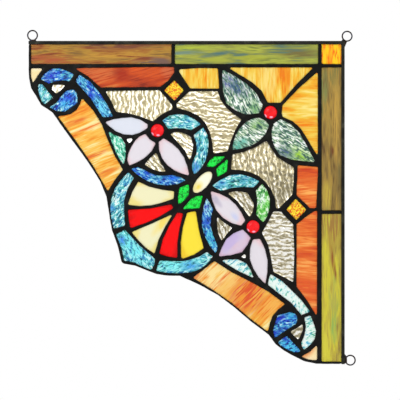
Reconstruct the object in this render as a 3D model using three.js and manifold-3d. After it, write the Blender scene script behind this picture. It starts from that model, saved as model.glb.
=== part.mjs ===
// A stained glass corner panel: two straight edges at a right angle, a curved free edge, and glass
// flowers, ribbons and a fan held in soldered seams. It hangs by three wire rings.
// Millimetres, +Z up. The front faces -Y. The origin is the centre of the ring at the square corner.
import * as THREE from "three";
import { mergeVertices } from "three/addons/utils/BufferGeometryUtils.js";
import Module from "manifold-3d";

const wasm = await Module();
wasm.setup();

// Driving sizes
const PANEL_WIDTH = 356;
const PANEL_HEIGHT = 364;
const GLASS_THICKNESS = 3;
const SEAM_DEPTH = 6; // front of the seams to their back
const SEAM_WIDTH = 4; // seams of the border, and those of the field on average
const BAR_WIDTH = 22; // glass that shows in a border bar
const EDGE_RIM = 2.8; // seam beyond the bars' free ends
const BROWN_BAR_LENGTH = 158;
const UPPER_BAR_LENGTH = 161;
const LAP = 0.6; // how far a seam covers the edge of a pane, front and back
const GAP = 0.3; // clearance round each pane in its groove, and between pieces that touch
const CAME_FACE = 3.8; // width of the edge channel's faces
const CAME_WEB = 1; // its outer wall
const JEWEL_DIAMETER = 16.4;
const JEWEL_DOME = 3.2;
const OVAL_LENGTH = 31.4;
const OVAL_WIDTH = 14.7;
const OVAL_TILT = 49.5; // degrees from level, rising to the right
const RING_DIAMETER = 12.6; // outside
const RING_WIRE = 1.7;
const RING_INSET = 4.2; // end rings' centres in from the panel's ends
const CORNER_RING_SIDE = 3; // corner ring's centre beyond the side edge
const CORNER_RING_RISE = 5.6; // and above the top edge
const CHORD_ERROR = 0.36; // how far a flat may lie from the curve that it stands for
const TIP_LIMIT = 3; // longest corner of an offset, in offsets

// The cartoon is drawn on squared paper, x to the right and y down. "x,y" is a corner of an outline
// and "~x,y" a point that its curve runs through. It was drawn with seams of DRAWN_SEAM and jewels
// of DRAWN_JEWEL.
const DRAWN_SEAM = 4;
const DRAWN_JEWEL = 16.4;
const PAPER = { left: 28.8, right: 318, top: 67.6, bottom: 363.9 };
const FREE_EDGE =
  "344.4,363.9 316,363.6 ~305.3,361.5 ~289.7,353.7 ~279.7,347.9 ~272.9,341.1 268.7,334.7 ~250,320.8 " +
  "~231,304.6 ~210.5,290.3 179.7,275.8 ~167,275.6 ~156.2,274 ~143.2,268.8 ~130,264.1 123.6,263.6 " +
  "121.5,261.5 ~120.5,253.5 ~115.2,239 ~110,223 ~108.2,204 ~102.8,186.5 ~90,165 ~64.7,130 52.6,112.6 " +
  "~45.8,107.9 41.2,105.2 ~35,94 31.2,88.2 ~29.2,78 28.8,70";

// Each kind of glass: colour, roughness, opacity
const GLASS = {
  brown: [0xb98a45, 0.3, 0.9],
  olive_green: [0x96a048, 0.3, 0.9],
  sun_yellow: [0xff9a18, 0.25, 0.9],
  tan_streaky: [0xa88c48, 0.3, 0.9],
  lime_streaky: [0xcdbe3c, 0.3, 0.9],
  red_orange: [0xd8501e, 0.3, 0.9],
  amber: [0xf5be50, 0.3, 0.9],
  orange: [0xe85f28, 0.3, 0.9],
  cobalt: [0x2a6ae8, 0.25, 0.9],
  aqua: [0x78dce6, 0.3, 0.9],
  mint: [0xe2f8f0, 0.3, 0.9],
  leaf: [0x96dc96, 0.3, 0.9],
  petal: [0xded4e0, 0.35, 0.95],
  petal_green: [0x9cbcaa, 0.3, 0.9],
  clear: [0xf0f0e4, 0.12, 0.35],
  jewel_red: [0xfa0a14, 0.1, 0.8],
  fan_cream: [0xf5eebe, 0.35, 0.95],
  fan_red: [0xff0a0f, 0.3, 0.95],
  fan_yellow: [0xf8e03c, 0.35, 0.95],
  opal: [0xfffadc, 0.35, 0.95],
  grain_yellow: [0xf8d218, 0.35, 0.95],
};
const METAL = {
  seam: [0x141414, 0.45],
  came: [0x2d2d26, 0.5],
  wire: [0x2a2624, 0.4],
};

// Panes of the field that are pieces of their own
const PANES = [
  ["red_band", "red_orange", "74.6,68.3 173.9,66.9 174.2,72.6 ~169,80 160.3,87 100.6,87.5 ~93.2,80.4 ~83.4,73.4"],
  ["amber_trapezoid", "amber", "179.1,71.8 179.5,69.5 ~205,67.9 217.9,68.4 219.2,88.8 190.3,88.6 180.8,74.5"],
  ["amber_wedge_top", "amber",
    "227.9,67.6 313.2,67.6 ~299.7,81.1 ~290.5,90.3 280.3,102.9 267.9,102.9 ~263.7,93.9 ~255.8,85 ~243.2,77.1"],
  ["amber_wedge_side", "amber",
    "317.7,71.6 ~307.1,80.5 ~292.9,94.2 282.4,105.3 281.6,113.2 282.4,116.8 ~290.8,120.3 ~298.7,126.3 " +
    "~305.5,136.3 317.7,156.8"],
  ["orange_strip_upper", "orange", "297.6,165.2 318,167 316.1,208.2 309.7,208.2 ~303.4,201.8 296.3,195"],
  ["orange_strip_lower", "orange",
    "317,210.7 314.7,210.8 ~308.7,215 ~300.8,220 296.4,224.5 296.3,286.3 ~303.4,295.3 ~310.8,306.3 316.8,316.6"],
  ["amber_left", "amber",
    "82.1,98.2 ~88.9,105.3 ~96.8,115.3 ~103.2,127.4 ~108.1,140.5 ~115,156.3 122.9,169.7 ~115.5,178.9 " +
    "107.9,191.2 ~103.6,182.6 ~84.2,152.5 57.9,116.3 ~63.7,115.8 ~73.7,112.6 ~78.9,106.8"],
  ["amber_bottom", "amber",
    "214.4,261 ~223.7,267.6 ~242.1,277.6 ~263.2,288.2 285,303.9 ~276.1,311.1 ~271.3,318 267.9,331.8 " +
    "~251,319.2 ~236.8,307 ~221.1,294.8 ~205.3,285.4 192.8,277.6 ~200.3,272.1"],
  ["curl_arc", "cobalt", "40.5,79.2 ~46.3,72.4 ~52,68.9 ~60,68.4 74.1,74.5 69.7,81.6 ~59.5,80.3 48.8,83.8"],
  ["curl_leaf", "cobalt",
    "48.9,107.4 ~56.3,103.2 ~61.6,95.8 66.8,90.5 73.9,89.7 ~77.4,94.7 77.3,103.3 ~71,107.9 64.7,111.8 ~55.3,110.6"],
  ["curl_ribbon", "cobalt",
    "79.7,74.7 75.3,81 ~86.3,92.9 ~93.4,102.5 103,117.4 113.2,116.8 ~107.6,105.3 ~99.8,93 ~91,82.4"],
  ["flower_1_petal_upper", "petal",
    "105,122.1 ~115,119 ~126.6,117.7 ~136.1,117.9 147.9,124.5 147.6,127.9 ~139.7,132.9 ~129.7,135.3 " +
    "~117.1,132.1 108.7,125.8"],
  ["flower_1_petal_left", "petal",
    "145.5,133.8 ~149,138.8 155.8,143.2 ~151.8,151.1 ~142.4,159.5 129.2,165.8 ~127.2,158.9 ~130.8,147.9 ~138.2,137.4"],
  ["flower_1_petal_right", "petal",
    "158.7,142 163.7,138.2 ~172.1,143.7 ~180.8,152.1 ~186.3,163.2 189.4,175.8 ~177.9,172.1 ~167.4,165.3 ~160,153.7"],
  ["clear_beside_flower_1", "clear",
    "170.3,133.9 ~176.3,131.8 ~183.7,133.2 191,137.4 ~193.2,146.8 189.7,161 ~185.8,151.6 ~178,142.5"],
  ["aqua_ribbon_top", "aqua",
    "162.2,120.3 ~170,115.5 ~181.6,114.2 ~190,116.6 201,124.2 191,130.3 ~180,127.9 168.4,129.2"],
  ["aqua_ribbon_right", "aqua",
    "203.4,127.4 193.4,135 ~196.4,143.5 ~196.6,153 193.2,160.5 ~191.7,168 194.5,174.9 ~203.2,165.3 ~208,152 ~207.8,136"],
  ["clear_upper_left", "clear",
    "105.3,91.1 159.5,90.3 ~170.3,102.6 172.9,106.3 172.6,108.7 ~163.4,113.2 152.6,121.3 ~142.4,117.1 " +
    "~129.2,113.4 116.1,111.8 ~112,102"],
  ["clear_centre", "clear",
    "189.7,91.3 217.6,91.3 ~221.3,101.3 ~229,110.6 241.3,119.5 ~232.9,134.5 227.4,151.5 213.4,153.4 " +
    "~212.1,141.6 ~207.3,126 ~199.5,116.3 ~188,110.9 177.1,107.9 176.1,104 ~183.9,96.6"],
  ["ribbon_under_flower_1", "cobalt",
    "130.8,168.9 ~138.2,167.1 ~149.2,172.6 ~158.2,175.8 ~175.3,175.3 186.3,180.3 ~175.3,184.7 ~158.2,184.7 ~142.4,178.4"],
  ["aqua_ribbon_outer_upper", "aqua",
    "128.4,172.1 133.9,177.9 ~127.6,188.9 ~124.2,199 ~124.2,213.9 125.2,225.5 113.9,228.7 ~110.9,216 " +
    "~111.1,199.2 ~114.9,188.8 ~121.3,179.5"],
  ["aqua_ribbon_outer_lower", "aqua",
    "125,229.7 116,234.5 117.8,238.6 ~121.1,246.1 124.1,260.7 ~131,261.3 ~141.5,266 149.7,269.4 151.8,269.2 " +
    "~154.5,264 155.2,258.8 ~143.7,249.2 ~132,238"],
  ["aqua_ribbon_bottom", "aqua",
    "159.5,260.5 ~172,261 184,261 ~190,259.4 ~197.4,257.5 206.8,251.8 213,256.5 ~207.2,263.8 ~200.3,269.1 " +
    "~190.9,272 ~182,273.3 ~167.9,272.8 156.2,271 ~157.6,265.5"],
  ["fan_cream_upper", "fan_cream",
    "138.2,181.6 ~147.6,186.1 ~160.8,189.5 174.2,191.3 173.7,198.7 ~155.3,204.5 ~138.9,206.1 127.9,204.7 ~131.1,194.5"],
  ["fan_red_upper", "fan_red",
    "127.9,209.8 ~147.4,208.9 171.6,204.2 173.2,208.2 ~160.5,216.1 ~144.7,223.4 130.3,228.2 ~128.9,220.8"],
  ["fan_cream_lower", "fan_cream",
    "173,213.9 ~157.9,220.8 ~142.1,227.6 131.6,232.1 ~143.2,245.5 154.5,253.7 ~157.9,241.8 ~164.2,228.2"],
  ["fan_red_lower", "fan_red",
    "177.2,212.7 183.2,213.2 ~179.5,228.4 ~177.1,245.3 177.4,257.9 ~168,256.6 159.2,253.7 ~163.2,238.4 ~170,224.2"],
  ["fan_yellow", "fan_yellow",
    "187.1,212.6 195.8,211.1 ~198.4,227.9 203.7,248.2 ~195.8,253.7 182.6,258.7 181.1,256.8 ~181.1,237 ~184.2,221.6"],
  ["blue_ribbon_down", "cobalt",
    "206.6,197.6 213.1,208.4 ~211,217 ~211.2,229 217.2,244.7 ~217.6,248.7 215.4,253.6 ~210.5,246.8 " +
    "~202.6,230.5 ~201.9,217 ~203.8,205"],
  ["flower_2_petal_upper", "petal",
    "210.4,190.9 ~221.1,194.2 ~230.5,199.7 ~238.9,208.4 245.3,220.5 241.1,225.8 ~230.5,222.6 ~220,215.3 ~213.7,205.3"],
  ["flower_2_petal_left", "petal",
    "242.5,229.5 ~247,233.5 250.8,237.9 ~246.8,245.5 242.1,252.1 ~230,255.3 218.4,256.4 ~222,247 ~228.9,235.9"],
  ["flower_2_petal_right", "petal",
    "252.6,239.5 260,238.7 ~264.7,248.2 ~267.4,258.7 ~267.4,270.8 265.3,284 ~255.8,273.4 ~249.5,258.2 ~250,248.7"],
  ["clear_above_flower_2", "clear",
    "227.4,193.2 ~235.8,191.1 247.4,192.9 253.9,204.2 ~253,210.5 249.6,217.2 ~244.7,210.3 ~236.8,200.5"],
  ["aqua_ribbon_flower_2", "aqua",
    "211.8,185.5 ~220,180 ~229.5,175.3 ~240.5,174.2 ~251.1,177.1 259.5,181.1 253.7,187.4 ~240.5,187.1 ~228,188.5 221.1,191.1"],
  ["green_ribbon", "leaf",
    "262.1,183.9 255.5,190.8 ~257.1,199.2 ~256.6,209.7 255.8,214.5 263.2,222.6 ~267.6,215.5 ~269.7,204.5 ~268.7,193.4"],
  ["clear_right", "clear",
    "266.3,140.8 ~257.1,146.6 ~244.5,151.8 232.3,154.5 230.9,169.6 ~245.8,170.8 ~260.2,177 ~270.8,189.2 " +
    "~275.3,199.7 275.8,208.2 278.7,208.2 292.3,194.6 ~293.5,180 293.7,167.3 ~285.5,162.6 ~276.6,156.6 ~270.3,147.1"],
  ["clear_lower_right", "clear",
    "273.4,211.3 280.8,211.6 ~287.6,219.2 292.9,223.9 ~294.2,245 293.2,282.1 ~285,277.4 273.4,271.8 " +
    "~271.8,262.6 ~268.2,244.7 261.8,232.9 ~267.6,222.9"],
  ["mint_ribbon", "mint",
    "270.3,273.9 ~278.7,278.4 ~291.8,290.5 ~303.9,303.2 310,311.6 301.3,315 ~291.8,303.2 ~279.2,293.7 267.9,284.7 ~268.9,278"],
  ["flower_3_petal_upper", "petal_green",
    "222.2,69.2 ~233.7,75.5 ~244.7,82.4 ~255,91.8 262.9,105.3 259,113.5 245.5,114.6 ~236.1,110.8 226.3,103.6 ~222.8,90 ~222.2,79"],
  ["flower_3_petal_left", "petal_green",
    "252.9,118.4 259.2,117.9 ~265,120.6 269.2,125 ~265.5,133.9 ~257.1,142.4 ~246.6,147.6 232.1,150 ~234.8,137 ~242.9,124.5"],
  ["flower_3_petal_right", "petal_green",
    "273.4,123.4 281,119 ~290.5,124.2 ~299.7,133.2 ~306.1,144.7 315.3,162.1 ~300,160.9 ~288.5,159 279.7,155 " +
    "~273.4,145 ~271.3,133.4"],
  ["diamond_upper", "grain_yellow", "174.4,80.4 183.9,90.3 174.5,100.8 163.9,90.5"],
  ["diamond_lower", "grain_yellow", "295.5,198.7 306.3,209.7 296.3,220 286.1,209.7"],
  ["curl_mint", "mint", "310.3,315.3 304.1,317.4 ~305.9,327.9 ~304,336 300.9,343.2 303.5,350 ~310.6,344.4 ~316.1,334.5 ~313.8,324"],
  ["curl_blue_lower", "cobalt",
    "287.1,335.6 ~292,341.5 299.4,349.1 300.4,352 ~294,352 288,349.9 ~282.6,346.6 278.4,343.6 278.2,341.5 ~282.5,338.3"],
  ["curl_blue_upper", "cobalt",
    "274.5,337.6 ~272.9,332 ~274.3,325 277.6,315 ~283.5,313.6 ~290.6,311.8 294.7,313.2 ~297.4,317.5 295.9,323.8 " +
    "~284.7,330.9 277.1,336.2"],
];

// Openings of the smallest panes, whose glass is no piece of this model
const SMALL_OPENINGS = [
  "31,68.4 43.2,68.4 ~37.4,76.4 32.9,83.6 ~31.2,77.6",
  "317.1,344.4 ~310,351.5 300.8,356.4 ~308,359.4 317,360.2",
  "38.1,84 42.6,84.5 53.3,97.9 ~47.9,102 45.6,104.3 42.8,103 ~38.9,94.5",
  "53.4,84.7 65.5,85 ~60.5,90.8 56.3,93.7 51.8,89.5",
  "107.9,130.8 ~112.9,134.2 121.3,137.4 ~125.5,145 ~125.6,156 123.7,165.3 ~117.6,155.8 ~111.8,142.1",
  "126.6,139.2 133.2,138.2 129.5,143.7",
  "156.3,152.6 ~150.8,157.4 144.5,164.7 ~155.5,170.5 166.1,171.8 ~160.3,161.6",
  "188.9,184 179.5,187.8 ~178,197 178.3,205 ~183.2,201.5 188.9,194.4",
  "203,195.4 ~193,197.4 182.1,209.6 ~190.5,208.7 199.5,208.2",
  "206.1,166.8 ~209.3,160.8 214.2,156.6 225.8,156.1 ~219.5,162.3 213.7,167.1",
  "227.9,158.9 ~221,164.2 216.3,168.6 217.1,177.1 226.9,171.6",
  "217,216.6 ~224.5,223 232.4,227.8 ~226.3,234.2 221.6,241.1 ~217.6,231",
  "245.5,253.9 245.3,258.2 240.8,256.6",
  "220.5,260 ~233.7,259.2 ~241.6,260.3 ~247.9,265 253.9,278.2 ~241.1,272.4 ~229.5,266.1",
  "290.3,331.5 ~296,328.3 302.6,323.8 ~302.3,331.5 297.9,339.2 ~293.9,335.8",
];

const JEWELS = [
  ["flower_1_jewel", "157.4,130.6"],
  ["flower_2_jewel", "252.9,226.8"],
  ["flower_3_jewel", "270.3,112.6"],
];
const OVAL_CENTRE = "202.5,182.2";

// Edges of the panel, and the lines that the border's pieces keep to
const right = -CORNER_RING_SIDE;
const top = -CORNER_RING_RISE;
const left = right - PANEL_WIDTH;
const bottom = top - PANEL_HEIGHT;
const cameRight = right - CAME_FACE;
const cameTop = top - CAME_FACE;
const barLeft = cameRight - BAR_WIDTH;
const barBottom = cameTop - BAR_WIDTH;
const fieldRight = barLeft - SEAM_WIDTH;
const fieldTop = barBottom - SEAM_WIDTH;
const grooveDepth = GLASS_THICKNESS + 2 * GAP;
const cameLap = CAME_FACE - CAME_WEB - GAP; // how far the border's glass enters the channel

function onPanel(word) {
  const [x, y] = word.replace("~", "").split(",").map(Number);
  return new THREE.Vector2(
    THREE.MathUtils.mapLinear(x, PAPER.left, PAPER.right, left, fieldRight),
    THREE.MathUtils.mapLinear(y, PAPER.top, PAPER.bottom, fieldTop, bottom),
  );
}

// Points along the curve through a run of drawn points, without the last one
function curvePoints(run) {
  if (run.length === 2) return [run[0]];
  const spline = new THREE.CatmullRomCurve3(
    run.map((p) => new THREE.Vector3(p.x, p.y, 0)),
    false,
    "centripetal",
  );
  const fine = spline.getSpacedPoints(8 * run.length);
  let turn = 0;
  for (let i = 2; i < fine.length; i++) {
    const before = fine[i - 1].clone().sub(fine[i - 2]);
    turn += before.angleTo(fine[i].clone().sub(fine[i - 1]));
  }
  const steps = Math.max(2, Math.ceil(Math.sqrt((spline.getLength() * turn) / (8 * CHORD_ERROR))));
  return spline
    .getSpacedPoints(steps)
    .slice(0, -1)
    .map((p) => new THREE.Vector2(p.x, p.y));
}

// A drawn line as points on the panel
function lineOf(text, closed) {
  const words = text.split(" ");
  if (closed) words.push(words[0]);
  const line = [];
  let run = [onPanel(words[0])];
  for (const word of words.slice(1)) {
    run.push(onPanel(word));
    if (word.startsWith("~")) continue;
    line.push(...curvePoints(run));
    run = [run.at(-1)];
  }
  return closed ? line : [...line, run[0]];
}

// A closed outline moved outwards by a distance, or inwards by a negative one
function grown(points, distance) {
  const sense = Math.sign(THREE.ShapeUtils.area(points)) * distance;
  const count = points.length;
  return points.map((point, i) => {
    const before = point.clone().sub(points[(i + count - 1) % count]).normalize();
    const after = points[(i + 1) % count].clone().sub(point).normalize();
    const outward = new THREE.Vector2(before.y + after.y, -before.x - after.x).normalize();
    const sharpness = Math.max(outward.x * before.y - outward.y * before.x, 1 / TIP_LIMIT);
    return point.clone().addScaledVector(outward, sense / sharpness);
  });
}

// Glass beside a jewel gives way as the jewel grows, and glass three jewel radii off stays put
function roundJewels(point) {
  const moved = point.clone();
  for (const [, place] of JEWELS) {
    const away = point.clone().sub(onPanel(place));
    const radii = (2 * away.length()) / DRAWN_JEWEL;
    const share = THREE.MathUtils.clamp((3 - radii) / 1.5, 0, 1);
    moved.addScaledVector(away.normalize(), (share * (JEWEL_DIAMETER - DRAWN_JEWEL)) / 2);
  }
  return moved;
}

function paneOutline(text) {
  return grown(lineOf(text, true).map(roundJewels), (DRAWN_SEAM - SEAM_WIDTH) / 2);
}

function rectangle(x0, y0, x1, y1) {
  return [
    new THREE.Vector2(x0, y0),
    new THREE.Vector2(x1, y0),
    new THREE.Vector2(x1, y1),
    new THREE.Vector2(x0, y1),
  ];
}

function ellipsePoints(centre, length, width, tilt) {
  const steps = Math.ceil(Math.PI / Math.acos(1 - (2 * CHORD_ERROR) / length));
  const ellipse = new THREE.EllipseCurve(
    centre.x, centre.y, length / 2, width / 2, 0, 2 * Math.PI, false, THREE.MathUtils.degToRad(tilt),
  );
  return ellipse.getPoints(steps).slice(0, -1);
}

function solidOf(geometry) {
  const bare = geometry.clone();
  bare.deleteAttribute("normal");
  bare.deleteAttribute("uv");
  const merged = mergeVertices(bare, 1e-4);
  return new wasm.Manifold(
    new wasm.Mesh({
      numProp: 3,
      vertProperties: new Float32Array(merged.attributes.position.array),
      triVerts: new Uint32Array(merged.index.array),
    }),
  );
}

// An outline in the panel's plane, as a slab centred on it
function slabGeometry(points, depth) {
  const slab = new THREE.ExtrudeGeometry(new THREE.Shape(points), {
    depth,
    bevelEnabled: false,
  });
  return slab.translate(0, 0, -depth / 2).rotateX(Math.PI / 2);
}

function slab(points, depth) {
  return solidOf(slabGeometry(points, depth));
}

function geometryOf(solid) {
  const mesh = solid.getMesh();
  const geometry = new THREE.BufferGeometry();
  geometry.setAttribute("position", new THREE.BufferAttribute(mesh.vertProperties, 3));
  geometry.setIndex(new THREE.BufferAttribute(mesh.triVerts, 1));
  geometry.computeVertexNormals();
  return geometry;
}

function metalMaterial(name) {
  const [color, roughness] = METAL[name];
  return new THREE.MeshStandardMaterial({ color, roughness, metalness: 0.8 });
}

function glassMaterial(name) {
  const [color, roughness, opacity] = GLASS[name];
  return new THREE.MeshStandardMaterial({ color, roughness, metalness: 0, transparent: true, opacity });
}

const panel = new THREE.Group();

function addPiece(name, geometry, material) {
  const mesh = new THREE.Mesh(geometry, material);
  mesh.name = name;
  panel.add(mesh);
}

// The border's glass: outline, and the part of it that the seams leave free
const brownRight = left + EDGE_RIM + BROWN_BAR_LENGTH;
const upperBarBottom = fieldTop - UPPER_BAR_LENGTH;
const BORDER = [
  ["brown_bar", "brown", left + EDGE_RIM, brownRight, barBottom, cameTop],
  ["green_bar", "olive_green", brownRight + SEAM_WIDTH, fieldRight, barBottom, cameTop],
  ["corner_square", "sun_yellow", barLeft, cameRight, barBottom, cameTop],
  ["side_bar_upper", "tan_streaky", barLeft, cameRight, upperBarBottom, fieldTop],
  ["side_bar_lower", "lime_streaky", barLeft, cameRight, bottom + EDGE_RIM, upperBarBottom - SEAM_WIDTH],
];

// The seams: a plate of the panel's outline, opened and grooved for each pane
function buildSeams(openings, glass) {
  const corner = new THREE.Vector2(cameRight - GAP, cameTop - GAP);
  const outline = lineOf(FREE_EDGE, false);
  outline[0] = new THREE.Vector2(corner.x, bottom);
  outline.push(new THREE.Vector2(left, corner.y), corner);
  let seams = slab(outline, SEAM_DEPTH);
  for (const opening of openings) seams = seams.subtract(slab(opening, 2 * SEAM_DEPTH));
  for (const pane of glass) seams = seams.subtract(slab(grown(pane, GAP), grooveDepth));
  return geometryOf(seams);
}

const openings = [];
const glass = [];
for (const [name, kind, x0, x1, z0, z1] of BORDER) {
  const inTop = z1 === cameTop;
  const inSide = x1 === cameRight;
  openings.push(rectangle(x0, z0, inSide ? right : x1, inTop ? top : z1));
  const outline = rectangle(
    x0 - LAP,
    z0 - LAP,
    inSide ? x1 + cameLap : x1 + LAP,
    inTop ? z1 + cameLap : z1 + LAP,
  );
  glass.push(outline);
  addPiece(name, slabGeometry(outline, GLASS_THICKNESS), glassMaterial(kind));
}

for (const [name, kind, text] of PANES) {
  const opening = paneOutline(text);
  const outline = grown(opening, LAP);
  openings.push(opening);
  glass.push(outline);
  addPiece(name, slabGeometry(outline, GLASS_THICKNESS), glassMaterial(kind));
}

for (const text of SMALL_OPENINGS) {
  const opening = paneOutline(text);
  openings.push(opening);
  glass.push(grown(opening, LAP));
}

const ovalCentre = onPanel(OVAL_CENTRE);
const ovalGlass = ellipsePoints(ovalCentre, OVAL_LENGTH, OVAL_WIDTH, OVAL_TILT);
openings.push(grown(ovalGlass, -LAP));
glass.push(ovalGlass);
addPiece("oval", slabGeometry(ovalGlass, GLASS_THICKNESS), glassMaterial("opal"));

// Jewels: round, flat behind, domed in front where the seam leaves them free
for (const [name, place] of JEWELS) {
  const centre = onPanel(place);
  const rim = ellipsePoints(centre, JEWEL_DIAMETER, JEWEL_DIAMETER, 0);
  openings.push(grown(rim, -LAP));
  glass.push(rim);
  const neck = JEWEL_DIAMETER / 2 - LAP - GAP;
  const back = GLASS_THICKNESS / 2;
  const profile = [new THREE.Vector2(0, back), new THREE.Vector2(JEWEL_DIAMETER / 2, back)];
  profile.push(new THREE.Vector2(JEWEL_DIAMETER / 2, -back));
  for (const share of [0, 0.33, 0.67, 1]) {
    const angle = (share * Math.PI) / 2;
    profile.push(new THREE.Vector2(neck * Math.cos(angle), -back - JEWEL_DOME * Math.sin(angle)));
  }
  profile.at(-1).x = 0;
  const jewel = new THREE.LatheGeometry(profile.reverse(), rim.length, Math.PI / 2);
  addPiece(name, jewel.translate(centre.x, 0, centre.y), glassMaterial("jewel_red"));
}

addPiece("seam_lattice", buildSeams(openings, glass), metalMaterial("seam"));

// The edge channel: one length folded at the corner, open towards the glass
function cameOutline(inset) {
  return [
    new THREE.Vector2(left - inset, top - inset),
    new THREE.Vector2(left - inset, cameTop - inset),
    new THREE.Vector2(cameRight - inset, cameTop - inset),
    new THREE.Vector2(cameRight - inset, bottom - inset),
    new THREE.Vector2(right - inset, bottom - inset),
    new THREE.Vector2(right - inset, top - inset),
  ];
}
const came = slab(cameOutline(0), SEAM_DEPTH).subtract(slab(cameOutline(CAME_WEB), grooveDepth));
addPiece("edge_came", geometryOf(came), metalMaterial("came"));

// Hanging rings, each in its lump of solder, kept off the channel that they are soldered to
const cameRoom = slab(grown(cameOutline(0), GAP), SEAM_DEPTH + 2 * GAP);

function lump(x, z, halfWidth, halfHeight) {
  const ball = new THREE.SphereGeometry(1, 12, 8);
  return solidOf(ball.scale(halfWidth, SEAM_DEPTH / 2.5, halfHeight).translate(x, 0, z));
}

function addRing(name, x, z, solder) {
  const wire = new THREE.TorusGeometry((RING_DIAMETER - RING_WIRE) / 2, RING_WIRE / 2, 6, 22);
  const ring = solidOf(wire.rotateX(Math.PI / 2).translate(x, 0, z));
  addPiece(name, geometryOf(ring.add(solder).subtract(cameRoom)), metalMaterial("wire"));
}

const standoff = RING_DIAMETER / 2 + GAP;
addRing("corner_ring", 0, 0, lump(right + 1.2, top + 0.6, 3.2, 3.4));
addRing(
  "top_end_ring",
  left + RING_INSET,
  top + standoff,
  lump(left + RING_INSET, top, 4.4, 2.4),
);
addRing(
  "bottom_end_ring",
  right + standoff,
  bottom + RING_INSET,
  lump(right, bottom + RING_INSET, 2.4, 5.4),
);

export default panel;
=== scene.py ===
"""The visual model of a stained glass corner panel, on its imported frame. Metres, front towards -Y."""

import math

import bpy
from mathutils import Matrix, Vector


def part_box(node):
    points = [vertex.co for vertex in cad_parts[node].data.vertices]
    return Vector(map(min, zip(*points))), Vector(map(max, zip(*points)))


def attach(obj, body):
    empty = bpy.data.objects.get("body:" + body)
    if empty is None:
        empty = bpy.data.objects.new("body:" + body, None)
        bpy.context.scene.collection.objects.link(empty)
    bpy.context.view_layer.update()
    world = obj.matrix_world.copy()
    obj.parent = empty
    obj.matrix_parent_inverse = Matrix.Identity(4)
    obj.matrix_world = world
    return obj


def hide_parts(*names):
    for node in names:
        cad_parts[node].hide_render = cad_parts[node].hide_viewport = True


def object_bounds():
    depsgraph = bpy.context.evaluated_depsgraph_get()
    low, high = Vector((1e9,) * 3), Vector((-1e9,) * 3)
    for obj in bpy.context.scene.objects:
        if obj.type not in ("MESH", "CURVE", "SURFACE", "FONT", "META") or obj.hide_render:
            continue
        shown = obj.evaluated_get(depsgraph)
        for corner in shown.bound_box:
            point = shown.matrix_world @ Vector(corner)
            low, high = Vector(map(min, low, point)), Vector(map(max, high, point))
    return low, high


bl_info = {
    "name": "Stained Glass Corner Panel",
    "version": (1, 0, 0),
    "blender": (4, 5, 0),
    "location": "View3D > Sidebar > Corner Panel",
    "description": "Glass, solder, edge channel and rings of a hanging corner panel",
    "category": "Mesh",
}

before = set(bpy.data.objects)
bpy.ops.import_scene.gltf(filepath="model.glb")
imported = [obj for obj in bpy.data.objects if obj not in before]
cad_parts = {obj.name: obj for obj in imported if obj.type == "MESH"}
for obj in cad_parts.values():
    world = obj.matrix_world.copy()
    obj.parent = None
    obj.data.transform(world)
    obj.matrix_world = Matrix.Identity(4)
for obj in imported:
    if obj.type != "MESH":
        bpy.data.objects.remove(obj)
CAD_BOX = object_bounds()

# The cartoon's squared paper: one square is PAPER_SQUARE metres, counted from the left and down
PAPER_SQUARE = 0.0011279
PAPER_ORIGIN = (347.1, 36.2)
PAPER_MIDDLE = (200, 200)

LATTICE_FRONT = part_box("seam_lattice")[0][1]
LATTICE_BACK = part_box("seam_lattice")[1][1]

# Length and width of a wave in the flow of the solder
SOLDER_FLOW = 0.012
# How far one smoothing moves a point to its neighbours' middle, and how often the rings are smoothed
SOFTLY = 0.5
RING_SOFTENING = 4
# What lies before this, measured from the middle of the glass, belongs to the front half of a jewel
DOME_EDGE = 0.0001
# Points closer than this are one point, and a face this near a plane lies in it
SAME_POINT = 0.00001
SAME_PLANE = 0.00002
# A face looks forward where the Y of its normal is below this
FACES_FRONT = -0.99

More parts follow.
